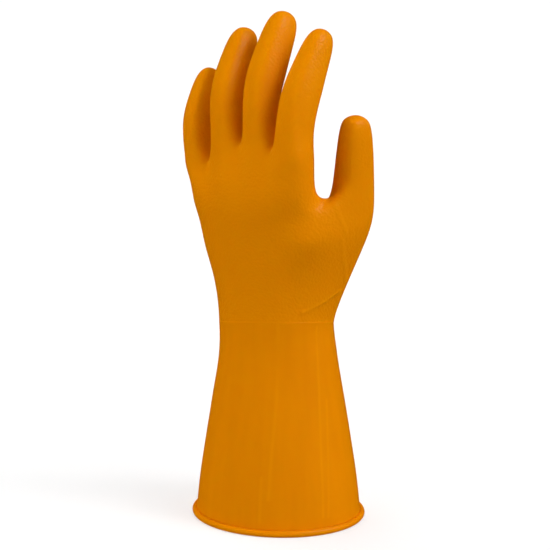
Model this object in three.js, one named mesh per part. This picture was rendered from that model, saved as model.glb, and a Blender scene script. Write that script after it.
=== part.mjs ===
// A left-hand latex work glove with a flared sleeve, standing on its rolled rim.
// Millimetres, +Z up. The back of the hand faces -Y and the thumb is on the +X side.
//
// The real glove is one film of latex, dipped on a hand-shaped former. Here the former is a
// coarse cage of rings, smoothed by Catmull-Clark subdivision. The film is that smooth skin and
// a second one inside it, joined by the roll at the rim.
import * as THREE from "three";

// The film and the roll at its rim
const WALL = 1;
const ROLL_RADIUS = 2;
const ROLL_REACH = 3; // how far the roll stands out from the sleeve's face
const REST_FLAT = 1.2; // width of the flat that the roll rests on
const ROLL_START = 110; // degrees from straight out, where the roll leaves the sleeve
const ROLL_STEP = 40; // degrees between the roll's facets
const ROLL_FACETS = 5;
const TUCK_HEIGHT = 1.3; // where the roll's inner side meets the sleeve's, over the floor

// The cage: columns round the sleeve and palm, and round each finger
const SLEEVE_COLUMNS = 24;
const FINGER_COLUMNS = 8;
const THUMB_COLUMN = 11; // the sleeve column that runs up the outside of the thumb
const COLUMN_TURN = 18; // degrees from +X towards +Y where that column starts at the rim

// The sleeve's level sections from the rim to the wrist
const SLEEVE = [
  { z: 5, x: 0, y: 0, halfWidth: 51.5, halfDepth: 47.9 },
  { z: 22, x: 0, y: 0, halfWidth: 49.9, halfDepth: 46.4 },
  { z: 41, x: 0, y: 0, halfWidth: 46.9, halfDepth: 43.7 },
  { z: 60, x: 0, y: 0, halfWidth: 43.8, halfDepth: 40.6 },
  { z: 78, x: 0, y: 0, halfWidth: 41, halfDepth: 37.2 },
  { z: 94, x: 0, y: 0, halfWidth: 38.4, halfDepth: 33.4 },
  { z: 108, x: -0.6, y: 0, halfWidth: 37.2, halfDepth: 31.2 },
];

// The heel of the hand, up to the fork of the thumb. Each row has a section of the palm and one
// of the thumb's root. Share says how far the two have parted from one ellipse, wrap how far the
// thumb's columns reach round its root, and swell how far the web between them stands out.
const HEEL = [
  {
    share: 0.35, wrap: 0.3, swell: 0,
    palm: { x: -0.9, y: -0.9, z: 121, halfWidth: 37.1, halfDepth: 29.3, flex: -4, lean: 0 },
    thumb: { x: 15.2, y: 6, z: 121, radius: 19.4 },
  },
  {
    share: 0.55, wrap: 0.5, swell: 1,
    palm: { x: -1.3, y: -3.8, z: 135, halfWidth: 36.4, halfDepth: 25.8, flex: -8, lean: 0 },
    thumb: { x: 26.6, y: 8.3, z: 136, radius: 17.5 },
  },
  {
    share: 0.75, wrap: 0.7, swell: 2,
    palm: { x: -2.6, y: -6.8, z: 151, halfWidth: 37.2, halfDepth: 23.2, flex: -10, lean: 0 },
    thumb: { x: 34, y: 9.2, z: 153, radius: 16 },
  },
  {
    share: 0.92, wrap: 0.87, swell: 6,
    palm: { x: -3.6, y: -10.3, z: 166, halfWidth: 40.4, halfDepth: 21.3, flex: -11, lean: -2 },
    thumb: { x: 39.1, y: 9.7, z: 168, radius: 14.4 },
  },
  {
    share: 0.98, wrap: 0.96, swell: 11,
    palm: { x: -4.1, y: -12.5, z: 177, halfWidth: 41.5, halfDepth: 20.4, flex: -12, lean: -3 },
    thumb: { x: 43.4, y: 10.3, z: 180, radius: 13.7 },
  },
  {
    share: 1, wrap: 1, swell: 4,
    palm: { x: -4.7, y: -15, z: 188, halfWidth: 42.2, halfDepth: 19.4, flex: -12, lean: -4 },
    thumb: { x: 45.6, y: 10.6, z: 191, radius: 13.1 },
  },
];
const WEB_SHARE = 0.38; // how near the web's swell on the back lies to the thumb
const FRONT_SWELL = 0.5; // the web's swell on the palm side, as a share of that on the back
const THUMB_OUTSIDE = 66; // degrees from +X towards +Y that the thumb's outside faces
const THUMB_FORK = { x: 40.3, y: 2, z: 200 };

// The palm from the fork of the thumb to the knuckles. Knuckle says how far the section has
// taken the shape of four fingers side by side.
const PALM = [
  { knuckle: 0.25, x: -4.8, y: -19.8, z: 197, halfWidth: 42.4, halfDepth: 18, flex: -8, lean: -5 },
  { knuckle: 0.5, x: -6.3, y: -20, z: 210, halfWidth: 42.5, halfDepth: 16, flex: 0, lean: -8 },
];
const PALM_SQUARENESS = 2.5; // the power of the palm's superellipse
const COLUMN_PITCH = 0.215; // spacing of the palm's columns, as a share of its half width

// The fingers, from the little finger to the first. Each has its centre at the height of the
// webs and its reach from there to the tip. Flex is towards the palm, lean towards the thumb.
const FINGERS = [
  {
    x: -45.2, y: -17, z: 212, reach: 65.8, rootWidth: 18.4, tipWidth: 18.8,
    rootFlex: 7, tipFlex: 38, rootLean: -14.6, tipLean: -6.5,
  },
  {
    x: -22.7, y: -19, z: 225, reach: 78.6, rootWidth: 21, tipWidth: 21.6,
    rootFlex: 7, tipFlex: 36, rootLean: -11.2, tipLean: -2.6,
  },
  {
    x: 1, y: -19.5, z: 227, reach: 86.2, rootWidth: 22.4, tipWidth: 23,
    rootFlex: 7, tipFlex: 31, rootLean: -7.2, tipLean: 1.9,
  },
  {
    x: 25.7, y: -22.5, z: 224, reach: 79.5, rootWidth: 25.6, tipWidth: 20.2,
    rootFlex: 7, tipFlex: 30, rootLean: -0.3, tipLean: 4.5,
  },
];
const FINGER_START = 225; // degrees from +X towards +Y of each finger's first column
const FINGER_DEPTH = 0.98; // depth over width
const FINGER_FLAT = 0.82; // how far its flat sides lie from the middle, with its corners at 1
const FINGER_TWIST = 25; // degrees that it turns about its length, towards the little finger
const TWIST_REACH = 0.26; // the share of its reach in which it turns
const WEB_RISE = 5; // height of a web's middle over the lower of its finger roots
const WEB_FALL = 8; // depth of a web's ends under its middle
const WEB_TUCK = 1.5; // how far the ends lie inside the fingers' faces

const THUMB = {
  x: 45.9, y: 10.5, z: 195, reach: 54.4, rootWidth: 25, tipWidth: 25.6,
  rootFlex: -5, tipFlex: -6, rootLean: 6, tipLean: 5,
};

// Where a finger's rings lie along its reach, how much of its bend each has taken, and how full
// it is there.
const FINGER_STATIONS = [
  { along: 0.13, bend: 0.02, girth: 0.91 },
  { along: 0.26, bend: 0.15, girth: 0.94 },
  { along: 0.39, bend: 0.6, girth: 1 },
  { along: 0.51, bend: 0.82, girth: 1.02 },
  { along: 0.63, bend: 0.88, girth: 0.98 },
  { along: 0.75, bend: 0.96, girth: 0.93 },
  { along: 0.87, bend: 0.96, girth: 0.85 },
  { along: 0.955, bend: 0.9, girth: 0.61 },
];
const THUMB_STATIONS = [
  { along: 0.2, bend: 0, girth: 0.98 },
  { along: 0.42, bend: 0.4, girth: 0.92 },
  { along: 0.64, bend: 0.8, girth: 0.84 },
  { along: 0.83, bend: 1, girth: 0.74 },
  { along: 0.94, bend: 1, girth: 0.56 },
];

// A smoothed octagon shrinks to its limit curve, so the cage's octagons are drawn larger. Every
// other point is a corner and the points between lie on flat sides.
const OCTAGON_SWELL = 6 / (4 + 2 * FINGER_FLAT * Math.cos(Math.PI / 4));

const radians = THREE.MathUtils.degToRad;
const mix = THREE.MathUtils.lerp;

// The unit direction that a part of the hand points in.
function direction(flex, lean) {
  const f = radians(flex);
  const l = radians(lean);
  return new THREE.Vector3(Math.sin(l), Math.sin(f) * Math.cos(l), Math.cos(f) * Math.cos(l));
}

// A point on a section's plane, from its centre, across by u and deep by v.
function onSection({ x, y, z, flex = 0, lean = 0 }, u, v) {
  const axis = direction(flex, lean);
  const across = new THREE.Vector3(1, 0, 0).addScaledVector(axis, -axis.x).normalize();
  const deep = new THREE.Vector3().crossVectors(axis, across);
  return new THREE.Vector3(x, y, z).addScaledVector(across, u).addScaledVector(deep, v);
}

function onEllipse(section, degrees) {
  const a = radians(degrees);
  return onSection(section, section.halfWidth * Math.cos(a), section.halfDepth * Math.sin(a));
}

// The cage's half width and half depth for a finger of this width.
function roundSize(width) {
  const halfWidth = (width / 2) * OCTAGON_SWELL;
  return { halfWidth, halfDepth: halfWidth * FINGER_DEPTH };
}

// A ring of eight points, the first at the angle start. Corner is 0 where the even points are
// the corners and 1 where the odd ones are.
function octagon(section, start, corner, step = 360 / FINGER_COLUMNS) {
  const middle = placeOf(section);
  return Array.from({ length: FINGER_COLUMNS }, (_, k) => {
    const point = onEllipse(section, start + k * step);
    return k % 2 === corner ? point : middle.clone().lerp(point, FINGER_FLAT);
  });
}

function sleeveAngle(column) {
  return COLUMN_TURN + ((column - THUMB_COLUMN) * 360) / SLEEVE_COLUMNS;
}

// The palm has 20 columns: nine on the back from the little finger to the first, the thumb side,
// nine on the palm side coming back, and the outer side of the hand.
const BACK = 9;
const PALM_COLUMNS = 2 * BACK + 2;

function palmRing(section) {
  const edge = (k) => {
    const across = (k - (BACK - 1) / 2) * COLUMN_PITCH;
    const rise = (1 - Math.abs(across) ** PALM_SQUARENESS) ** (1 / PALM_SQUARENESS);
    return [across * section.halfWidth, rise * section.halfDepth];
  };
  const along = Array.from({ length: BACK }, (_, k) => edge(k));
  const back = along.map(([u, v]) => onSection(section, u, -v));
  const front = along.map(([u, v]) => onSection(section, u, v)).reverse();
  const thumbSide = onSection(section, section.halfWidth, 0);
  const outerSide = onSection(section, -section.halfWidth, 0);
  return [...back, thumbSide, ...front, outerSide];
}

function placeOf({ x, y, z }) {
  return new THREE.Vector3(x, y, z);
}

function middleOf(a, b) {
  return a.clone().lerp(b, 0.5);
}

function average(points) {
  return points.reduce((sum, point) => sum.add(point), new THREE.Vector3()).divideScalar(points.length);
}

// A ring of 24 round the palm and the thumb's root together.
function heelRing({ share, wrap, swell, palm, thumb }) {
  const round = { ...thumb, ...roundSize(2 * thumb.radius) };
  const step = (wrap * 360) / FINGER_COLUMNS;
  const root = octagon(round, THUMB_OUTSIDE - 4 * step, 1, step);
  const hand = palmRing(palm);
  const backWeb = hand[BACK - 1].clone().lerp(root[1], WEB_SHARE);
  const frontWeb = middleOf(hand[BACK + 1], root[7]);
  const through = backWeb.clone().sub(frontWeb).normalize();
  backWeb.addScaledVector(through, swell);
  frontWeb.addScaledVector(through, -swell * FRONT_SWELL);
  const [backHand, frontHand] = [hand.slice(0, BACK - 1), hand.slice(BACK + 2)];
  const parted = [...backHand, backWeb, ...root.slice(2, 7), frontWeb, ...frontHand];
  return parted.map((point, column) => onEllipse(palm, sleeveAngle(column)).lerp(point, share));
}

// The finger roots side by side: where two meet, their corners become one.
function knuckleRing(roots) {
  const last = roots.length - 1;
  const back = [];
  const front = [];
  roots.forEach((root, f) => {
    back.push(f === 0 ? root[0] : middleOf(root[0], roots[f - 1][2]), root[1]);
    front.unshift(root[5], f === 0 ? root[6] : middleOf(root[6], roots[f - 1][4]));
  });
  back.push(roots[last][2]);
  front.unshift(roots[last][4]);
  return [...back, roots[last][3], ...front, roots[0][7]];
}

// The cage: points, and faces of four points each.
const cage = { points: [], quads: [] };

function addPoint(point) {
  return cage.points.push(point.clone()) - 1;
}

function addRing(points) {
  return points.map(addPoint);
}

function bridge(lower, upper) {
  lower.forEach((a, k) => {
    const next = (k + 1) % lower.length;
    cage.quads.push([a, lower[next], upper[next], upper[k]]);
  });
}

// Closes a tip: four faces of the octagon meet at one point.
function closeTip(ring, apex) {
  const tip = addPoint(apex);
  for (let k = 0; k < FINGER_COLUMNS; k += 2) {
    cage.quads.push([ring[k], ring[k + 1], ring[(k + 2) % FINGER_COLUMNS], tip]);
  }
}

// Grows a finger from the loop of cage points at its root.
function growFinger(loop, finger, stations, { start, corner, twist }) {
  const centre = placeOf(finger);
  let lower = loop;
  let from = { along: 0, flex: finger.rootFlex, lean: finger.rootLean };
  const stepTo = (along, bend) => {
    const flex = mix(finger.rootFlex, finger.tipFlex, bend);
    const lean = mix(finger.rootLean, finger.tipLean, bend);
    const way = direction((from.flex + flex) / 2, (from.lean + lean) / 2);
    centre.addScaledVector(way, (along - from.along) * finger.reach);
    from = { along, flex, lean };
    return { x: centre.x, y: centre.y, z: centre.z, flex, lean };
  };
  for (const { along, bend, girth } of stations) {
    const size = girth * mix(finger.rootWidth, finger.tipWidth, along);
    const section = { ...stepTo(along, bend), ...roundSize(size) };
    const turned = start - twist * Math.min(1, along / TWIST_REACH);
    const upper = addRing(octagon(section, turned, corner));
    bridge(lower, upper);
    lower = upper;
  }
  const end = stepTo(1, stations.at(-1).bend);
  closeTip(lower, new THREE.Vector3(end.x, end.y, end.z));
}

function buildCage() {
  const sleeve = SLEEVE.map((row) =>
    Array.from({ length: SLEEVE_COLUMNS }, (_, k) => onEllipse(row, sleeveAngle(k))),
  );
  const lowerRings = [...sleeve, ...HEEL.map(heelRing)].map(addRing);
  for (let k = 1; k < lowerRings.length; k += 1) bridge(lowerRings[k - 1], lowerRings[k]);

  // At the fork one more point parts the ring in two: the palm's and the thumb's.
  const forked = lowerRings.at(-1);
  const fork = addPoint(placeOf(THUMB_FORK));
  const thumbLoop = [fork, ...forked.slice(BACK - 1, BACK + 6)];
  const thumbTurn = { start: THUMB_OUTSIDE - 180, corner: 1, twist: 0 };
  growFinger(thumbLoop, THUMB, THUMB_STATIONS, thumbTurn);

  const roots = FINGERS.map((finger) => {
    const size = roundSize(finger.rootWidth);
    return octagon({ ...placeOf(finger), flex: finger.rootFlex, ...size }, FINGER_START, 0);
  });
  const webs = FINGERS.slice(1).map((finger, f) => {
    const web = middleOf(placeOf(finger), placeOf(FINGERS[f]));
    web.z = Math.min(finger.z, FINGERS[f].z) + WEB_RISE;
    return web;
  });
  const knuckles = knuckleRing(roots);
  webs.forEach((web, f) => {
    for (const end of [knuckles[2 * f + 2], knuckles[PALM_COLUMNS - 4 - 2 * f]]) {
      end.z = web.z - WEB_FALL;
      end.y += WEB_TUCK * Math.sign(web.y - end.y);
    }
  });
  const middle = average(knuckles);
  let lower = [...forked.slice(0, BACK), fork, ...forked.slice(BACK + 5)];
  for (const row of PALM) {
    const carried = placeOf(row).sub(middle);
    const knuckle = (k) => knuckles[k].clone().add(carried);
    const upper = addRing(palmRing(row).map((point, k) => point.lerp(knuckle(k), row.knuckle)));
    bridge(lower, upper);
    lower = upper;
  }
  const top = addRing(knuckles);
  bridge(lower, top);

  const webPoints = addRing(webs);
  const fingerTurn = { start: FINGER_START, corner: 0, twist: FINGER_TWIST };
  FINGERS.forEach((finger, f) => {
    const back = top.slice(2 * f, 2 * f + 3);
    const frontStart = PALM_COLUMNS - 4 - 2 * f;
    const front = top.slice(frontStart, frontStart + 3);
    const thumbSide = f === FINGERS.length - 1 ? top[BACK] : webPoints[f];
    const outerSide = f === 0 ? top[PALM_COLUMNS - 1] : webPoints[f - 1];
    const loop = [...back, thumbSide, ...front, outerSide];
    growFinger(loop, finger, FINGER_STATIONS, fingerTurn);
  });
}

// What touches each point of a mesh of four-sided faces.
function neighbourhoods({ points, quads }) {
  const around = points.map(() => ({ next: new Set(), across: [], faces: [], rim: [] }));
  const edges = new Map();
  quads.forEach((quad, face) => {
    quad.forEach((a, k) => {
      const b = quad[(k + 1) % 4];
      const key = a < b ? a + "," + b : b + "," + a;
      if (!edges.has(key)) edges.set(key, { ends: [a, b], faces: [] });
      edges.get(key).faces.push(face);
      around[a].next.add(b);
      around[b].next.add(a);
      around[a].across.push(quad[(k + 2) % 4]);
      around[a].faces.push(face);
    });
  });
  for (const { ends, faces } of edges.values()) {
    if (faces.length > 1) continue;
    around[ends[0]].rim.push(ends[1]);
    around[ends[1]].rim.push(ends[0]);
  }
  return { around, edges };
}

// One step of Catmull-Clark subdivision.
function subdivide(mesh) {
  const { around, edges } = neighbourhoods(mesh);
  const at = (k) => mesh.points[k];
  const faceMiddles = mesh.quads.map((quad) => average(quad.map(at)));
  const moved = mesh.points.map((point, k) => {
    const { next, faces, rim } = around[k];
    if (rim.length) return average(rim.map(at)).lerp(point, 0.75);
    const n = next.size;
    const faceAverage = average(faces.map((face) => faceMiddles[face]));
    const edgeAverage = average([...next].map((other) => middleOf(point, at(other))));
    return faceAverage.addScaledVector(edgeAverage, 2).addScaledVector(point, n - 3).divideScalar(n);
  });
  const points = [...moved, ...faceMiddles];
  const edgePoint = new Map();
  for (const [key, { ends, faces }] of edges) {
    const sides = faces.length > 1 ? faces.map((face) => faceMiddles[face]) : [];
    edgePoint.set(key, points.push(average([...ends.map(at), ...sides])) - 1);
  }
  const edgeOf = (a, b) => edgePoint.get(a < b ? a + "," + b : b + "," + a);
  const quads = mesh.quads.flatMap((quad, face) =>
    quad.map((a, k) => {
      const [after, before] = [quad[(k + 1) % 4], quad[(k + 3) % 4]];
      return [a, edgeOf(a, after), moved.length + face, edgeOf(before, a)];
    }),
  );
  return { points, quads };
}

// Moves each point to where endless subdivision would carry it.
function toLimit(mesh) {
  const { around } = neighbourhoods(mesh);
  const at = (k) => mesh.points[k];
  const points = mesh.points.map((point, k) => {
    const { next, across, rim } = around[k];
    if (rim.length) return average(rim.map(at)).lerp(point, 2 / 3);
    const n = next.size;
    const limit = point.clone().multiplyScalar(n * n);
    for (const other of next) limit.addScaledVector(at(other), 4);
    for (const other of across) limit.add(at(other));
    return limit.divideScalar(n * (n + 5));
  });
  return { points, quads: mesh.quads };
}

function normalsOf({ points, quads }) {
  const normals = points.map(() => new THREE.Vector3());
  for (const quad of quads) {
    const [a, b, c, d] = quad.map((k) => points[k]);
    const face = new THREE.Vector3().crossVectors(c.clone().sub(a), d.clone().sub(b));
    for (const k of quad) normals[k].add(face);
  }
  return normals.map((normal) => normal.normalize());
}

// The rim's points in order, walking the open edge.
function rimLoop(mesh) {
  const { around } = neighbourhoods(mesh);
  const start = around.findIndex(({ rim }) => rim.length > 0);
  const loop = [start];
  let here = around[start].rim[0];
  while (here !== start) {
    const before = loop.at(-1);
    loop.push(here);
    here = around[here].rim.find((other) => other !== before);
  }
  const [a, b] = [mesh.points[loop[0]], mesh.points[loop[1]]];
  return a.x * b.y - a.y * b.x > 0 ? loop : loop.reverse();
}

// The roll's outline from the film's outer face to its inner one, as steps out and heights.
function rollProfile() {
  const flatHeight = Math.sqrt(ROLL_RADIUS ** 2 - (REST_FLAT / 2) ** 2);
  const centre = ROLL_REACH - ROLL_RADIUS;
  const bead = Array.from({ length: ROLL_FACETS }, (_, k) => {
    const a = radians(ROLL_START - k * ROLL_STEP);
    return [centre + ROLL_RADIUS * Math.cos(a), flatHeight + ROLL_RADIUS * Math.sin(a)];
  });
  const flat = [[centre + REST_FLAT / 2, 0], [centre - REST_FLAT / 2, 0]];
  return [...bead, ...flat, [-WALL, TUCK_HEIGHT]];
}

function gloveGeometry() {
  buildCage();
  const skin = toLimit(subdivide(cage));
  const normals = normalsOf(skin);
  const lining = skin.points.map((point, k) => point.clone().addScaledVector(normals[k], -WALL));
  const loop = rimLoop(skin);
  for (const k of loop) {
    // At the rim the film stands straight, so that the roll meets it squarely.
    const out = new THREE.Vector3(skin.points[k].x, skin.points[k].y, 0).normalize();
    lining[k].copy(skin.points[k]).addScaledVector(out, -WALL);
  }
  const points = [...skin.points, ...lining];
  const quads = [...skin.quads];
  for (const [a, b, c, d] of skin.quads) quads.push([d, c, b, a].map((k) => k + lining.length));

  let upper = loop;
  const rows = rollProfile().map(([out, z]) =>
    loop.map((k) => {
      const rim = skin.points[k];
      const way = new THREE.Vector3(rim.x, rim.y, 0).normalize();
      return points.push(new THREE.Vector3(rim.x, rim.y, z).addScaledVector(way, out)) - 1;
    }),
  );
  rows.push(loop.map((k) => k + lining.length));
  for (const lower of rows) {
    const above = upper;
    above.forEach((a, k) => {
      const next = (k + 1) % above.length;
      quads.push([a, lower[k], lower[next], above[next]]);
    });
    upper = lower;
  }

  const triangles = quads.flatMap(([a, b, c, d]) => {
    const flatter = points[a].distanceTo(points[c]) < points[b].distanceTo(points[d]);
    return flatter ? [a, b, c, a, c, d] : [a, b, d, b, c, d];
  });
  const geometry = new THREE.BufferGeometry().setFromPoints(points);
  geometry.setIndex(triangles);
  geometry.computeVertexNormals();
  return geometry;
}

const latex = new THREE.MeshStandardMaterial({ color: 0xe08a00, roughness: 0.45, metalness: 0 });
const film = new THREE.Mesh(gloveGeometry(), latex);
film.name = "glove";

// The sections are measured from the rim's middle. The glove's own origin is on the floor under
// the middle of its whole width and depth, thumb included.
film.geometry.computeBoundingBox();
const middle = film.geometry.boundingBox.getCenter(new THREE.Vector3());
film.position.set(-middle.x, -middle.y, 0);

const glove = new THREE.Group();
glove.add(film);
export default glove;
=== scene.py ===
"""The looks of a left-hand latex work glove that stands on its rolled rim.

Lengths are metres and angles degrees. +Z is up, the back of the hand faces -Y and the thumb is
on the +X side.
"""
import math
from types import SimpleNamespace

import bpy
from mathutils import Matrix, Vector


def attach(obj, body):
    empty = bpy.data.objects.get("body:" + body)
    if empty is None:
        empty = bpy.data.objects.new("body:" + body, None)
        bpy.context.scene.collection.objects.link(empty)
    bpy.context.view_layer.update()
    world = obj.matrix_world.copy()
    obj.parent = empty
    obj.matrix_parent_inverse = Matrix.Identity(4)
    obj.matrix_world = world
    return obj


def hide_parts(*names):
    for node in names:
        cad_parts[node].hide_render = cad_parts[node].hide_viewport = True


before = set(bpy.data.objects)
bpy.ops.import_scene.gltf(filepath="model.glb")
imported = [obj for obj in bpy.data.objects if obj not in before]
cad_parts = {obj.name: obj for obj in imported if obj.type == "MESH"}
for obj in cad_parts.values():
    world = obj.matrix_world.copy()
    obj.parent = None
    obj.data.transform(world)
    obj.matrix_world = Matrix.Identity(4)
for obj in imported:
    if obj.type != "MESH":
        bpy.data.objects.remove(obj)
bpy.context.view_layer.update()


# The film: natural rubber latex, dyed orange, that a hand-shaped former is dipped in. It cures to
# one skin about 1 mm thick from the rim to the fingertips. The former is drawn here as a coarse
# cage of rings round the sleeve, the palm and each finger, which is then smoothed.
FILM_THICKNESS = 0.001

SLEEVE_COLUMNS = 24
FINGER_COLUMNS = 8
BACK_COLUMNS = 9  # columns on the back of the palm, and as many on its front
PALM_COLUMNS = 2 * BACK_COLUMNS + 2
THUMB_COLUMN = 11  # the sleeve column that runs up the outside of the thumb
COLUMN_TURN = 18  # where that column starts at the rim, from +X towards +Y


def table(columns, *rows):
    """Rows of named values."""
    return [SimpleNamespace(**dict(zip(columns.split(), row))) for row in rows]


# Level sections of the sleeve, from inside the rolled rim to the wrist.
SLEEVE = table(
    "z x y half_width half_depth",
    (0.002, 0, 0, 0.0518, 0.0482),
    (0.022, 0, 0, 0.0499, 0.0464),
    (0.041, 0, 0, 0.0469, 0.0437),
    (0.060, 0, 0, 0.0438, 0.0406),
    (0.078, 0, 0, 0.0410, 0.0372),
    (0.094, 0, 0, 0.0384, 0.0334),
    (0.108, -0.0006, 0, 0.0372, 0.0312),
)

# The heel of the hand, up to the fork of the thumb: a section of the palm, and one of the thumb's
# root. Share says how far the two have parted from one ellipse, wrap how far the thumb's columns
# reach round its root, and swell how far the web between them stands out.
HEEL = table(
    "share wrap swell x y z half_width half_depth flex lean root_x root_y root_z root_radius",
    (0.35, 0.30, 0.000, -0.0009, -0.0009, 0.121, 0.0371, 0.0293, -4, 0, 0.0152, 0.0060, 0.121, 0.0194),
    (0.55, 0.50, 0.001, -0.0013, -0.0038, 0.135, 0.0364, 0.0258, -8, 0, 0.0266, 0.0083, 0.136, 0.0175),
    (0.75, 0.70, 0.002, -0.0026, -0.0068, 0.151, 0.0372, 0.0232, -10, 0, 0.0340, 0.0092, 0.153, 0.0160),
    (0.92, 0.87, 0.006, -0.0036, -0.0103, 0.166, 0.0404, 0.0213, -11, -2, 0.0391, 0.0097, 0.168, 0.0144),
    (0.98, 0.96, 0.011, -0.0041, -0.0125, 0.177, 0.0415, 0.0204, -12, -3, 0.0434, 0.0103, 0.180, 0.0137),
    (1.00, 1.00, 0.004, -0.0047, -0.0150, 0.188, 0.0422, 0.0194, -12, -4, 0.0456, 0.0106, 0.191, 0.0131),
)
WEB_SHARE = 0.38  # how near the web's swell lies to the thumb
FRONT_SWELL = 0.5  # the web's swell on the palm side, as a share of that on the back
THUMB_OUTSIDE = 66  # the way that the thumb's outside faces, from +X towards +Y
THUMB_FORK = Vector((0.0403, 0.0020, 0.2000))

# The palm above the fork. Knuckle says how far it has the shape of four fingers side by side.
PALM = table(
    "knuckle x y z half_width half_depth flex lean",
    (0.25, -0.0048, -0.0198, 0.197, 0.0424, 0.018, -8, -5),
    (0.50, -0.0063, -0.0200, 0.210, 0.0425, 0.016, 0, -8),
)
PALM_SQUARENESS = 2.5  # the power of the palm's superellipse
COLUMN_PITCH = 0.215  # spacing of the palm's columns, as a share of its half width

# The fingers from the little finger to the first, each with its centre at the height of the webs.
# Flex is towards the palm and lean towards the thumb.
FINGER_SIZES = "x y z reach root_width tip_width root_flex tip_flex root_lean tip_lean"
FINGERS = table(
    FINGER_SIZES,
    (-0.0452, -0.0170, 0.212, 0.0658, 0.0184, 0.0188, 7, 38, -14.6, -6.5),
    (-0.0227, -0.0190, 0.225, 0.0786, 0.0210, 0.0216, 7, 36, -11.2, -2.6),
    (0.0010, -0.0195, 0.227, 0.0862, 0.0224, 0.0230, 7, 31, -7.2, 1.9),
    (0.0257, -0.0225, 0.224, 0.0795, 0.0256, 0.0202, 7, 30, -0.3, 4.5),
)
THUMB = table(FINGER_SIZES, (0.0459, 0.0105, 0.195, 0.0544, 0.0250, 0.0256, -5, -6, 6, 5))[0]
FINGER_START = 225  # each finger's first column, from +X towards +Y
FINGER_DEPTH = 0.98  # depth over width
FINGER_FLAT = 0.82  # how far a finger's flat faces lie from its middle, its corners at 1
FINGER_TWIST = 25  # how far the fingers are turned about their length, towards the little finger
TWIST_REACH = 0.26  # the share of a finger's reach in which it turns
WEB_RISE = 0.005  # height of a web's middle over the lower of its finger roots
WEB_FALL = 0.008  # depth of a web's ends under its middle
WEB_TUCK = 0.0015  # how far the ends lie inside the fingers' faces

# Where a finger's rings lie along its reach, their share of its bend, and how full it is there.
FINGER_RINGS = table(
    "along bend girth",
    (0.13, 0.02, 0.91),
    (0.26, 0.15, 0.94),
    (0.39, 0.60, 1.00),
    (0.51, 0.82, 1.02),
    (0.63, 0.88, 0.98),
    (0.75, 0.96, 0.93),
    (0.87, 0.96, 0.85),
    (0.955, 0.90, 0.61),
)
THUMB_RINGS = table(
    "along bend girth",
    (0.20, 0.0, 0.98),
    (0.42, 0.4, 0.92),
    (0.64, 0.8, 0.84),
    (0.83, 1.0, 0.74),
    (0.94, 1.0, 0.56),
)

# Smoothing shrinks an octagon to its limit curve, so the cage's octagons are drawn larger.
OCTAGON_SWELL = 6 / (4 + 2 * FINGER_FLAT * math.cos(math.pi / 4))


def direction(flex, lean):
    """The unit direction that a part of the hand points in."""
    f, l = math.radians(flex), math.radians(lean)
    return Vector((math.sin(l), math.sin(f) * math.cos(l), math.cos(f) * math.cos(l)))


def section(centre, half_width, half_depth, flex=0, lean=0):
    return SimpleNamespace(centre=Vector(centre), half_width=half_width, half_depth=half_depth,
                           flex=flex, lean=lean)


def on_section(cut, across_by, deep_by):
    """A point on a section's plane, measured from its centre."""
    axis = direction(cut.flex, cut.lean)
    across = (Vector((1, 0, 0)) - axis * axis.x).normalized()
    return cut.centre + across * across_by + axis.cross(across) * deep_by


def on_ellipse(cut, degrees):
    a = math.radians(degrees)
    return on_section(cut, cut.half_width * math.cos(a), cut.half_depth * math.sin(a))


def round_section(centre, width, flex=0, lean=0):
    """A finger's section, drawn larger so that it smooths to its true width."""
    half = width / 2 * OCTAGON_SWELL
    return section(centre, half, half * FINGER_DEPTH, flex, lean)


def octagon(cut, start, corner=0, step=360 / FINGER_COLUMNS):
    """A ring of eight points, the first at the angle start. Every other one is a corner, and the
    points between lie on flat sides."""
    points = [on_ellipse(cut, start + k * step) for k in range(FINGER_COLUMNS)]
    return [p if k % 2 == corner else cut.centre.lerp(p, FINGER_FLAT) for k, p in enumerate(points)]


def sleeve_angle(column):
    return COLUMN_TURN + (column - THUMB_COLUMN) * 360 / SLEEVE_COLUMNS


def palm_ring(cut):
    """The back from the little finger to the first, the thumb side, the front coming back and
    the outer side of the hand."""
    back, front = [], []
    for k in range(BACK_COLUMNS):
        across = (k - (BACK_COLUMNS - 1) / 2) * COLUMN_PITCH
        rise = (1 - abs(across) ** PALM_SQUARENESS) ** (1 / PALM_SQUARENESS)
        back.append(on_section(cut, across * cut.half_width, -rise * cut.half_depth))
        front.insert(0, on_section(cut, across * cut.half_width, rise * cut.half_depth))
    thumb_side = on_section(cut, cut.half_width, 0)
    outer_side = on_section(cut, -cut.half_width, 0)
    return [*back, thumb_side, *front, outer_side]


def heel_ring(row):
    """A ring round the palm and the thumb's root together."""
    palm = section((row.x, row.y, row.z), row.half_width, row.half_depth, row.flex, row.lean)
    round_root = round_section((row.root_x, row.root_y, row.root_z), 2 * row.root_radius)
    step = row.wrap * 360 / FINGER_COLUMNS
    root = octagon(round_root, THUMB_OUTSIDE - 4 * step, 1, step)
    hand = palm_ring(palm)
    back_web = hand[BACK_COLUMNS - 1].lerp(root[1], WEB_SHARE)
    front_web = hand[BACK_COLUMNS + 1].lerp(root[7], 0.5)
    through = (back_web - front_web).normalized()
    back_web += through * row.swell
    front_web -= through * row.swell * FRONT_SWELL
    parted = [*hand[:BACK_COLUMNS - 1], back_web, *root[2:7], front_web, *hand[BACK_COLUMNS + 2:]]
    return [on_ellipse(palm, sleeve_angle(column)).lerp(point, row.share)
            for column, point in enumerate(parted)]


def knuckle_ring(roots):
    """The finger roots side by side: where two meet, their corners become one."""
    back, front = [], []
    for k, root in enumerate(roots):
        before = roots[k - 1] if k else None
        back += [root[0].lerp(before[2], 0.5) if before else root[0], root[1]]
        front = [root[5], root[6].lerp(before[4], 0.5) if before else root[6]] + front
    return [*back, roots[-1][2], roots[-1][3], roots[-1][4], *front, roots[0][7]]


cage_points = []
cage_quads = []


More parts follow.
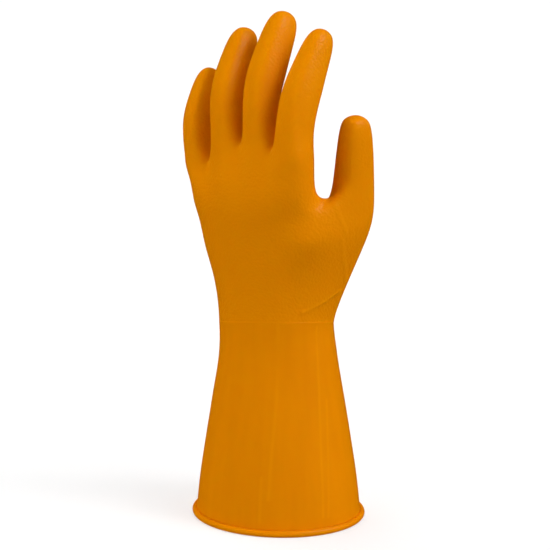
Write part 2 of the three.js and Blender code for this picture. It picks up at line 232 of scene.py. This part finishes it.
def add_ring(points):
    first = len(cage_points)
    cage_points.extend(points)
    return list(range(first, first + len(points)))


def bridge(lower, upper):
    for k, a in enumerate(lower):
        after = (k + 1) % len(lower)
        cage_quads.append((a, lower[after], upper[after], upper[k]))


def close_tip(ring, apex):
    """Four faces of the octagon meet at one point."""
    tip, = add_ring([apex])
    for k in range(0, FINGER_COLUMNS, 2):
        cage_quads.append((ring[k], ring[k + 1], ring[(k + 2) % FINGER_COLUMNS], tip))


def grow_finger(loop, finger, rings, start, twist, corner=0):
    """Grows a finger from the loop of cage points at its root."""
    centre = Vector((finger.x, finger.y, finger.z))
    along, flex, lean = 0, finger.root_flex, finger.root_lean
    lower = loop
    for ring in [*rings, SimpleNamespace(along=1, bend=rings[-1].bend, girth=None)]:
        next_flex = finger.root_flex + (finger.tip_flex - finger.root_flex) * ring.bend
        next_lean = finger.root_lean + (finger.tip_lean - finger.root_lean) * ring.bend
        way = direction((flex + next_flex) / 2, (lean + next_lean) / 2)
        centre = centre + way * (ring.along - along) * finger.reach
        along, flex, lean = ring.along, next_flex, next_lean
        if ring.girth is None:
            close_tip(lower, centre)
            return
        width = finger.root_width + (finger.tip_width - finger.root_width) * along
        cut = round_section(centre, width * ring.girth, flex, lean)
        turn = twist * min(1, along / TWIST_REACH)
        upper = add_ring(octagon(cut, start - turn, corner))
        bridge(lower, upper)
        lower = upper


# The sleeve and the heel of the hand
lower_rings = []
for row in SLEEVE:
    cut = section((row.x, row.y, row.z), row.half_width, row.half_depth)
    lower_rings.append(add_ring([on_ellipse(cut, sleeve_angle(k)) for k in range(SLEEVE_COLUMNS)]))
for row in HEEL:
    lower_rings.append(add_ring(heel_ring(row)))
for lower, upper in zip(lower_rings, lower_rings[1:]):
    bridge(lower, upper)

# The thumb: at the fork one more point parts the ring in two, the palm's and the thumb's
forked = lower_rings[-1]
fork, = add_ring([THUMB_FORK])
thumb_loop = [fork, *forked[BACK_COLUMNS - 1:BACK_COLUMNS + 6]]
grow_finger(thumb_loop, THUMB, THUMB_RINGS, THUMB_OUTSIDE - 180, 0, corner=1)

# The palm up to the knuckles
roots = [octagon(round_section((f.x, f.y, f.z), f.root_width, f.root_flex), FINGER_START)
         for f in FINGERS]
webs = []
for outer, inner in zip(FINGERS, FINGERS[1:]):
    web = (Vector((outer.x, outer.y, 0)) + Vector((inner.x, inner.y, 0))) / 2
    web.z = min(outer.z, inner.z) + WEB_RISE
    webs.append(web)
knuckles = knuckle_ring(roots)
web_ends = [(2 * k + 2, PALM_COLUMNS - 4 - 2 * k) for k in range(len(webs))]
for web, ends in zip(webs, web_ends):
    for k in ends:
        knuckles[k].z = web.z - WEB_FALL
        knuckles[k].y += math.copysign(WEB_TUCK, web.y - knuckles[k].y)
knuckle_middle = sum(knuckles, Vector()) / len(knuckles)
lower = [*forked[:BACK_COLUMNS], fork, *forked[BACK_COLUMNS + 5:]]
for row in PALM:
    centre = Vector((row.x, row.y, row.z))
    palm = palm_ring(section(centre, row.half_width, row.half_depth, row.flex, row.lean))
    carried = centre - knuckle_middle
    upper = add_ring([p.lerp(q + carried, row.knuckle) for p, q in zip(palm, knuckles)])
    bridge(lower, upper)
    lower = upper
top = add_ring(knuckles)
bridge(lower, top)

# The fingers
web_points = add_ring(webs)
for k, finger in enumerate(FINGERS):
    front = PALM_COLUMNS - 4 - 2 * k
    thumb_side = top[BACK_COLUMNS] if k == len(FINGERS) - 1 else web_points[k]
    outer_side = top[-1] if k == 0 else web_points[k - 1]
    loop = [*top[2 * k:2 * k + 3], thumb_side, *top[front:front + 3], outer_side]
    grow_finger(loop, finger, FINGER_RINGS, FINGER_START, FINGER_TWIST)

# The sections are measured from the rim's middle, which the frame gives: the glove stands on it.
on_floor = [v.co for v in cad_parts["glove"].data.vertices if v.co.z < FILM_THICKNESS / 10]
rim_middle = sum(on_floor, Vector()) / len(on_floor)
rim_middle.z = 0

# Shades of the latex, as linear colours: the usual one, a deeper one for random clouds of thicker film
# and for painted shade streaks, and a paler one that is painted light along the runs and creases
LATEX_COLOUR = (0.79, 0.250, 0.0004, 1)
LATEX_DEEP = (0.71, 0.210, 0.0004, 1)
LATEX_PAINTED_LIGHT = (0.82, 0.290, 0.0010, 1)
CLOUD_SCALE = 26.0  # clouds of the deeper shade to the metre, all over the glove
CLOUD_SHARE = 0.6
STREAK_SCALE = (150, 150, 2)  # upright streaks of it to the metre, on the sleeve: painted shade bands
STREAK_NOISE = (0.3, 0.7)  # from which noise to which they deepen
STREAK_SHARES = (0.13, 0.37)  # the least and the most of the deeper shade in them

LATEX_ROUGHNESS = 0.40
LATEX_SPECULAR = 0.5
LATEX_SCATTER = 0.12  # the share of the light that scatters inside the film
LATEX_DEPTH = 0.002  # how far red light goes into it
LATEX_DEPTHS = (1.0, 0.35, 0.05)  # how far red, green and blue light go, as shares of that

GRAIN_SCALE = 1800.0  # grains of the smooth film to the metre
GRAIN_HEIGHT = 0.00002
PEBBLE_SIZE = 0.0013  # across one grain of the pebbled grip
PEBBLE_HEIGHT = 0.00028
WRIST_LINE = 0.119  # height at which the pebbled grip ends, over the rim's middle
WRIST_SLOPE = (-0.1115, 0.159, 1)  # which way is up for that line: it dips towards the thumb
WRIST_BLEND = 0.0012
SLEEVE_STEP = 0.00022  # how far the sleeve's face stands out from the grip's

# Fine lines in the film: four runs on the sleeve, where the latex flowed down before it set, then creases
# that it dried with at the wrist, under the thumb and beside the web. Each is a slight relief and is also
# painted paler, as painted light along it; the runs barely stand out, so their light is nearly all painted.
# The points that they pass through lie on the film and are measured from the rim's middle.
FILM_LINES = table(
    "width height pale points",
    (0.0030, 0.00003, 0.45, [(0.0331, -0.0079, 0.1219), (0.0373, -0.0114, 0.0849),
                             (0.0419, -0.0159, 0.0481), (0.0459, -0.0194, 0.0103)]),
    (0.0028, 0.00003, 0.40, [(0.0397, -0.0070, 0.0783), (0.0428, -0.0101, 0.0549),
                             (0.0474, -0.0161, 0.0097)]),
    (0.0036, 0.00003, 0.35, [(0.0178, -0.0261, 0.1245), (0.0204, -0.0311, 0.0805),
                             (0.0210, -0.0366, 0.0514), (0.0214, -0.0412, 0.0220)]),
    (0.0036, 0.00003, 0.35, [(0.0164, -0.0413, 0.0346), (0.0173, -0.0442, 0.0085)]),
    (0.0040, 0.00040, 0.30, [(0.0410, 0.0049, 0.1424), (0.0358, -0.0074, 0.1360),
                             (0.0292, -0.0175, 0.1316)]),
    (0.0050, 0.00022, 0.20, [(0.0493, -0.0059, 0.1754), (0.0470, -0.0001, 0.1624),
                             (0.0438, 0.0071, 0.1490)]),
    (0.0050, 0.00022, 0.20, [(0.0465, -0.0093, 0.1962), (0.0494, -0.0074, 0.1880),
                             (0.0509, -0.0042, 0.1801)]),
)


def add_node(tree, kind, inputs=None, **settings):
    """A node with its settings, and its inputs given values or linked to another's output."""
    made = tree.nodes.new(kind)
    for name, value in settings.items():
        setattr(made, name, value)
    for key, value in (inputs or {}).items():
        if isinstance(value, bpy.types.NodeSocket):
            tree.links.new(value, made.inputs[key])
        else:
            made.inputs[key].default_value = value
    return made


def calculate(tree, operation, a, b):
    """The result of a sum of two numbers or sockets."""
    return add_node(tree, "ShaderNodeMath", {0: a, 1: b}, operation=operation).outputs[0]


def ease(tree, value, low, high, to_low=0.0, to_high=1.0):
    """A smooth rise of a value from one end of a range to the other."""
    inputs = {"Value": value, "From Min": low, "From Max": high, "To Min": to_low, "To Max": to_high}
    return add_node(tree, "ShaderNodeMapRange", inputs, interpolation_type="SMOOTHSTEP").outputs[0]


def combine(tree, operation, a, b):
    """The node that does a sum of two vectors."""
    return add_node(tree, "ShaderNodeVectorMath", {0: a, 1: b}, operation=operation)


def scaled(tree, vector, factor):
    """A vector times a number."""
    return add_node(tree, "ShaderNodeVectorMath", {0: vector, "Scale": factor}, operation="SCALE").outputs[0]


def nearness(tree, place, line):
    """How near a place is to a film line: 1 on the line, and 0 half the line's width away."""
    gaps = []
    for start, end in zip(line.points, line.points[1:]):
        way = Vector(end) - Vector(start)
        passed = combine(tree, "SUBTRACT", place, Vector(start) + rim_middle).outputs[0]
        share = combine(tree, "DOT_PRODUCT", passed, way / way.length_squared).outputs["Value"]
        share = add_node(tree, "ShaderNodeClamp", {0: share}).outputs[0]
        gaps.append(combine(tree, "DISTANCE", passed, scaled(tree, way, share)).outputs["Value"])
    nearest = gaps[0]
    for gap in gaps[1:]:
        nearest = calculate(tree, "MINIMUM", nearest, gap)
    return ease(tree, nearest, 0.0, line.width / 2, 1.0, 0.0)


def latex(name, pebbled):
    """Satin latex. Outside, the pebbled grip covers the hand down to the wrist line."""
    material = bpy.data.materials.new(name)
    material.use_nodes = True
    tree = material.node_tree
    shader = tree.nodes["Principled BSDF"]
    place = add_node(tree, "ShaderNodeTexCoord").outputs["Object"]
    height = combine(tree, "DOT_PRODUCT", place, WRIST_SLOPE).outputs["Value"]

    cloud = add_node(tree, "ShaderNodeTexNoise", {"Vector": place, "Scale": CLOUD_SCALE, "Detail": 3.0})
    upright = add_node(tree, "ShaderNodeMapping", {"Vector": place, "Scale": STREAK_SCALE})
    streak = add_node(tree, "ShaderNodeTexNoise", {"Vector": upright.outputs[0], "Scale": 1.0, "Detail": 2.0})
    hand = ease(tree, height, WRIST_LINE, WRIST_LINE + WRIST_BLEND)
    # Painted shade: upright streaks of the deeper shade on the sleeve stand in for shade bands along its
    # faint flutes
    painted_shade_streaks = ease(tree, streak.outputs[0], *STREAK_NOISE, *STREAK_SHARES)
    painted_shade_streaks = calculate(tree, "MULTIPLY", calculate(tree, "SUBTRACT", 1.0, hand), painted_shade_streaks)
    deeper = calculate(tree, "ADD", calculate(tree, "MULTIPLY", cloud.outputs[0], CLOUD_SHARE), painted_shade_streaks)
    colour = add_node(tree, "ShaderNodeMix", {"Factor": deeper, 6: LATEX_COLOUR, 7: LATEX_DEEP},
                      data_type="RGBA", clamp_factor=False).outputs[2]

    grain = add_node(tree, "ShaderNodeTexNoise", {"Vector": place, "Scale": GRAIN_SCALE, "Detail": 2.0})
    relief = calculate(tree, "MULTIPLY", grain.outputs[0], GRAIN_HEIGHT)
    if pebbled:
        pebble = add_node(tree, "ShaderNodeTexVoronoi", {"Vector": place, "Scale": 1 / PEBBLE_SIZE},
                          feature="SMOOTH_F1")
        sunk = calculate(tree, "MULTIPLY", pebble.outputs["Distance"], PEBBLE_HEIGHT)
        sunk = calculate(tree, "MULTIPLY", calculate(tree, "ADD", sunk, SLEEVE_STEP), hand)
        relief = calculate(tree, "SUBTRACT", relief, sunk)
        # Each film line raises the relief a little and is painted paler: painted light along the runs and
        # creases
        for line in FILM_LINES:
            near = nearness(tree, place, line)
            relief = calculate(tree, "ADD", relief, calculate(tree, "MULTIPLY", near, line.height))
            pale = calculate(tree, "MULTIPLY", near, line.pale)
            colour = add_node(tree, "ShaderNodeMix", {"Factor": pale, 6: colour, 7: LATEX_PAINTED_LIGHT},
                              data_type="RGBA").outputs[2]
    tree.links.new(colour, shader.inputs["Base Color"])
    bump = add_node(tree, "ShaderNodeBump", {"Height": relief, "Strength": 1.0, "Distance": 1.0})
    tree.links.new(bump.outputs[0], shader.inputs["Normal"])

    shader.inputs["Roughness"].default_value = LATEX_ROUGHNESS
    shader.inputs["Specular IOR Level"].default_value = LATEX_SPECULAR
    shader.inputs["Subsurface Weight"].default_value = LATEX_SCATTER
    shader.inputs["Subsurface Radius"].default_value = LATEX_DEPTHS
    shader.inputs["Subsurface Scale"].default_value = LATEX_DEPTH
    return material


latex_outside = latex("latex_outside", pebbled=True)
latex_inside = latex("latex_inside", pebbled=False)


def new_tree(name, inputs):
    """A Geometry Nodes tree with named inputs, and its first and last nodes."""
    tree = bpy.data.node_groups.new(name, "GeometryNodeTree")
    tree.interface.new_socket("Geometry", in_out="INPUT", socket_type="NodeSocketGeometry")
    tree.interface.new_socket("Geometry", in_out="OUTPUT", socket_type="NodeSocketGeometry")
    for label, kind in inputs.items():
        tree.interface.new_socket(label, in_out="INPUT", socket_type="NodeSocket" + kind)
    return tree, tree.nodes.new("NodeGroupInput"), tree.nodes.new("NodeGroupOutput")


def run_tree(piece, tree, values):
    """Adds a tree to a piece as its modifier, with the values of its named inputs."""
    modifier = piece.modifiers.new(tree.name, "NODES")
    modifier.node_group = tree
    for item in tree.interface.items_tree:
        if item.in_out == "INPUT" and item.name in values:
            modifier[item.identifier] = values[item.name]


def make_plain(piece, name):
    """Replaces a piece by a plain mesh of what its modifiers make."""
    bpy.context.view_layer.update()
    made = bpy.data.meshes.new_from_object(piece.evaluated_get(bpy.context.evaluated_depsgraph_get()))
    bpy.data.objects.remove(piece)
    made.name = name
    plain = bpy.data.objects.new(name, made)
    bpy.context.scene.collection.objects.link(plain)
    return plain


# The tree smooths the cage and gives the film its unevenness: a slow ripple all over, and upright
# flutes in the sleeve.
dipping, given, made = new_tree("dipping", {
    "Level": "Int",
    "Ripple": "Float",
    "Ripple size": "Float",
    "Flute": "Float",
    "Flute size": "Float",
    "Wrist line": "Float",
    "Seed": "Float",
    "Film": "Material",
})
smooth = add_node(dipping, "GeometryNodeSubdivisionSurface",
                  {"Mesh": given.outputs["Geometry"], "Level": given.outputs["Level"], "Limit Surface": True})
point = dipping.nodes.new("GeometryNodeInputPosition").outputs[0]
normal = dipping.nodes.new("GeometryNodeInputNormal").outputs[0]
grip_height = combine(dipping, "DOT_PRODUCT", point, WRIST_SLOPE).outputs["Value"]
level_point = combine(dipping, "MULTIPLY", point, (1, 1, 0))


def unevenness(place, size, height):
    """Smooth noise of this size and height, half above the film and half below."""
    scale = calculate(dipping, "DIVIDE", 1.0, size)
    noise = add_node(dipping, "ShaderNodeTexNoise",
                     {"Vector": place, "W": given.outputs["Seed"], "Scale": scale, "Detail": 1.0},
                     noise_dimensions="4D")
    return calculate(dipping, "MULTIPLY", calculate(dipping, "SUBTRACT", noise.outputs[0], 0.5), height)


wrist_top = calculate(dipping, "ADD", given.outputs["Wrist line"], WRIST_BLEND)
on_sleeve = ease(dipping, grip_height, given.outputs["Wrist line"], wrist_top, 1.0, 0.0)
ripple = unevenness(point, given.outputs["Ripple size"], given.outputs["Ripple"])
flute = unevenness(level_point.outputs[0], given.outputs["Flute size"], given.outputs["Flute"])
flute = calculate(dipping, "MULTIPLY", flute, on_sleeve)
lift = calculate(dipping, "ADD", ripple, flute)
moved = add_node(dipping, "GeometryNodeSetPosition",
                 {"Geometry": smooth.outputs[0], "Offset": scaled(dipping, normal, lift)})
shaded = add_node(dipping, "GeometryNodeSetShadeSmooth", {"Geometry": moved.outputs[0]})
whole = add_node(dipping, "GeometryNodeRealizeInstances", {"Geometry": shaded.outputs[0]})
coated = add_node(dipping, "GeometryNodeSetMaterial",
                  {"Geometry": whole.outputs[0], "Material": given.outputs["Film"]})
dipping.links.new(coated.outputs[0], made.inputs[0])

cage_mesh = bpy.data.meshes.new("cage")
cage_mesh.from_pydata([p + rim_middle for p in cage_points], [], cage_quads)
cage = bpy.data.objects.new("cage", cage_mesh)
bpy.context.scene.collection.objects.link(cage)
run_tree(cage, dipping, {
    "Level": 3,
    "Ripple": 0.0003,
    "Ripple size": 0.030,
    "Flute": 0.0004,
    "Flute size": 0.011,
    "Wrist line": WRIST_LINE,
    "Seed": 4.0,
    "Film": latex_outside,
})
skin = make_plain(cage, "skin")
skin.data.materials.append(latex_inside)
wall = skin.modifiers.new("wall", "SOLIDIFY")
wall.thickness = FILM_THICKNESS
wall.offset = -1
wall.material_offset = 1
film = make_plain(skin, "dipped_film")
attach(film, "root")
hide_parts("glove")


# The rolled rim: before it sets, the film's end is rolled outwards on itself into a round bead,
# which stops the thin edge from tearing and catches drips. The glove stands on it.
RIM_HALF_WIDTH = 0.0509  # the sleeve's face at the rim
RIM_HALF_DEPTH = 0.0474
BEAD_RADIUS = 0.002
BEAD_REACH = 0.003  # how far the bead stands out from the sleeve's face
REST_FLAT = 0.0012  # width of the flat that it rests on
RIM_STEPS = 192
BEAD_STEPS = 24

rolling, given, made = new_tree("rolling", {
    "Half width": "Float",
    "Half depth": "Float",
    "Bead radius": "Float",
    "Height": "Float",
    "Film": "Material",
})
path = add_node(rolling, "GeometryNodeCurvePrimitiveCircle", {"Resolution": RIM_STEPS, "Radius": 1.0})
spot = rolling.nodes.new("GeometryNodeInputPosition").outputs[0]
stretch = add_node(rolling, "ShaderNodeCombineXYZ",
                   {"X": given.outputs["Half width"], "Y": given.outputs["Half depth"], "Z": 1.0})
oval_spot = combine(rolling, "MULTIPLY", spot, stretch.outputs[0])
rise = add_node(rolling, "ShaderNodeCombineXYZ", {"Z": given.outputs["Height"]})
oval = add_node(rolling, "GeometryNodeSetPosition",
                {"Geometry": path.outputs[0], "Position": oval_spot.outputs[0], "Offset": rise.outputs[0]})
bead = add_node(rolling, "GeometryNodeCurvePrimitiveCircle",
                {"Resolution": BEAD_STEPS, "Radius": given.outputs["Bead radius"]})
swept = add_node(rolling, "GeometryNodeCurveToMesh",
                 {"Curve": oval.outputs[0], "Profile Curve": bead.outputs[0]})
above_floor = combine(rolling, "MAXIMUM", spot, (-1, -1, 0))
rested = add_node(rolling, "GeometryNodeSetPosition",
                  {"Geometry": swept.outputs[0], "Position": above_floor.outputs[0]})
shaded = add_node(rolling, "GeometryNodeSetShadeSmooth", {"Geometry": rested.outputs[0]})
whole = add_node(rolling, "GeometryNodeRealizeInstances", {"Geometry": shaded.outputs[0]})
coated = add_node(rolling, "GeometryNodeSetMaterial",
                  {"Geometry": whole.outputs[0], "Material": given.outputs["Film"]})
rolling.links.new(coated.outputs[0], made.inputs[0])

roll = bpy.data.objects.new("roll", bpy.data.meshes.new("roll"))
bpy.context.scene.collection.objects.link(roll)
run_tree(roll, rolling, {
    "Half width": RIM_HALF_WIDTH + BEAD_REACH - BEAD_RADIUS,
    "Half depth": RIM_HALF_DEPTH + BEAD_REACH - BEAD_RADIUS,
    "Bead radius": BEAD_RADIUS,
    "Height": math.sqrt(BEAD_RADIUS ** 2 - (REST_FLAT / 2) ** 2),
    "Film": latex_outside,
})
rim = make_plain(roll, "rolled_rim")
rim.data.transform(Matrix.Translation(rim_middle))
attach(rim, "root")
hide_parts("glove")


# The studio: a light table under a white sky that only the camera sees. Two lamps as wide as the
# sky light the glove evenly from above and below, and smaller ones from all round shape it.
FLOOR_SIZE = 30
FLOOR_SHADE = (0.45, 0.45, 0.45, 1)
FLOOR_ROUGHNESS = 0.9
FLOOR_GLOW = 0.55
WHITE = (1, 1, 1, 1)

half = FLOOR_SIZE / 2
corners = [(-half, -half, 0), (half, -half, 0), (half, half, 0), (-half, half, 0)]
floor_mesh = bpy.data.meshes.new("floor")
floor_mesh.from_pydata(corners, [], [(0, 1, 2, 3)])
floor = bpy.data.objects.new("floor", floor_mesh)
bpy.context.scene.collection.objects.link(floor)
light_table = bpy.data.materials.new("light_table")
light_table.use_nodes = True
acrylic = light_table.node_tree.nodes["Principled BSDF"]
acrylic.inputs["Base Color"].default_value = FLOOR_SHADE
acrylic.inputs["Roughness"].default_value = FLOOR_ROUGHNESS
acrylic.inputs["Emission Color"].default_value = WHITE
acrylic.inputs["Emission Strength"].default_value = FLOOR_GLOW
floor_mesh.materials.append(light_table)
floor.visible_diffuse = False
floor.visible_glossy = False
floor.visible_shadow = False

sky = bpy.data.worlds.new("sky")
sky.use_nodes = True
sky.node_tree.nodes["Background"].inputs["Color"].default_value = WHITE
sky.node_tree.nodes["Background"].inputs["Strength"].default_value = 1.0
bpy.context.scene.world = sky
sky.cycles_visibility.diffuse = False
sky.cycles_visibility.glossy = False
bpy.context.scene.view_settings.view_transform = "Standard"


# Soft lamps from far away. Azimuth 0 is from the front, and positive towards the thumb. Spread is
# how wide a lamp looks from the glove. Only the one that shows in the latex makes highlights.
LAMPS = table(
    "name azimuth elevation strength spread shows",
    ("dome", 0, 90, 1.16, 180, False),
    ("bounce", 0, -90, 1.18, 180, False),
    ("key", 95, 35, 1.10, 40, False),
    ("glint", 100, 48, 0.36, 15, True),
    ("right", 80, 10, 0.70, 40, False),
    ("back_right", 130, 30, 0.20, 40, False),
    ("left", -50, 10, 0.74, 40, False),
    ("front_left", -25, 10, 0.74, 40, False),
    ("top", 0, 90, 0.55, 40, False),
    ("behind", -110, 60, 0.70, 40, False),
)
for row in LAMPS:
    lamp = bpy.data.lights.new(row.name, "SUN")
    lamp.energy = row.strength
    lamp.angle = math.radians(row.spread)
    lamp.cycles.use_multiple_importance_sampling = row.shows
    sun = bpy.data.objects.new(row.name, lamp)
    sun.rotation_euler = (math.radians(90 - row.elevation), 0, math.radians(row.azimuth))
    sun.visible_glossy = row.shows
    bpy.context.scene.collection.objects.link(sun)


# The camera stands where the photo was taken from: to the right of the glove's front, a little
# above it.
CAMERA_AZIMUTH = 35
CAMERA_ELEVATION = 11
CAMERA_DISTANCE = 1.23
CAMERA_AIM = rim_middle + Vector((-0.0015, -0.0014, 0.1483))
PHOTO_SIDE = 550  # pixels
PIXELS_PER_METRE = 1 / 0.0006  # at the glove

lens = bpy.data.cameras.new("camera")
lens.sensor_width = 36
lens.lens = lens.sensor_width * CAMERA_DISTANCE * PIXELS_PER_METRE / PHOTO_SIDE
camera = bpy.data.objects.new("camera", lens)
azimuth, elevation = math.radians(CAMERA_AZIMUTH), math.radians(CAMERA_ELEVATION)
back = Vector((math.sin(azimuth) * math.cos(elevation), -math.cos(azimuth) * math.cos(elevation),
               math.sin(elevation)))
camera.location = CAMERA_AIM + back * CAMERA_DISTANCE
camera.rotation_euler = (math.radians(90) - elevation, 0, azimuth)
bpy.context.scene.collection.objects.link(camera)
bpy.context.scene.camera = camera
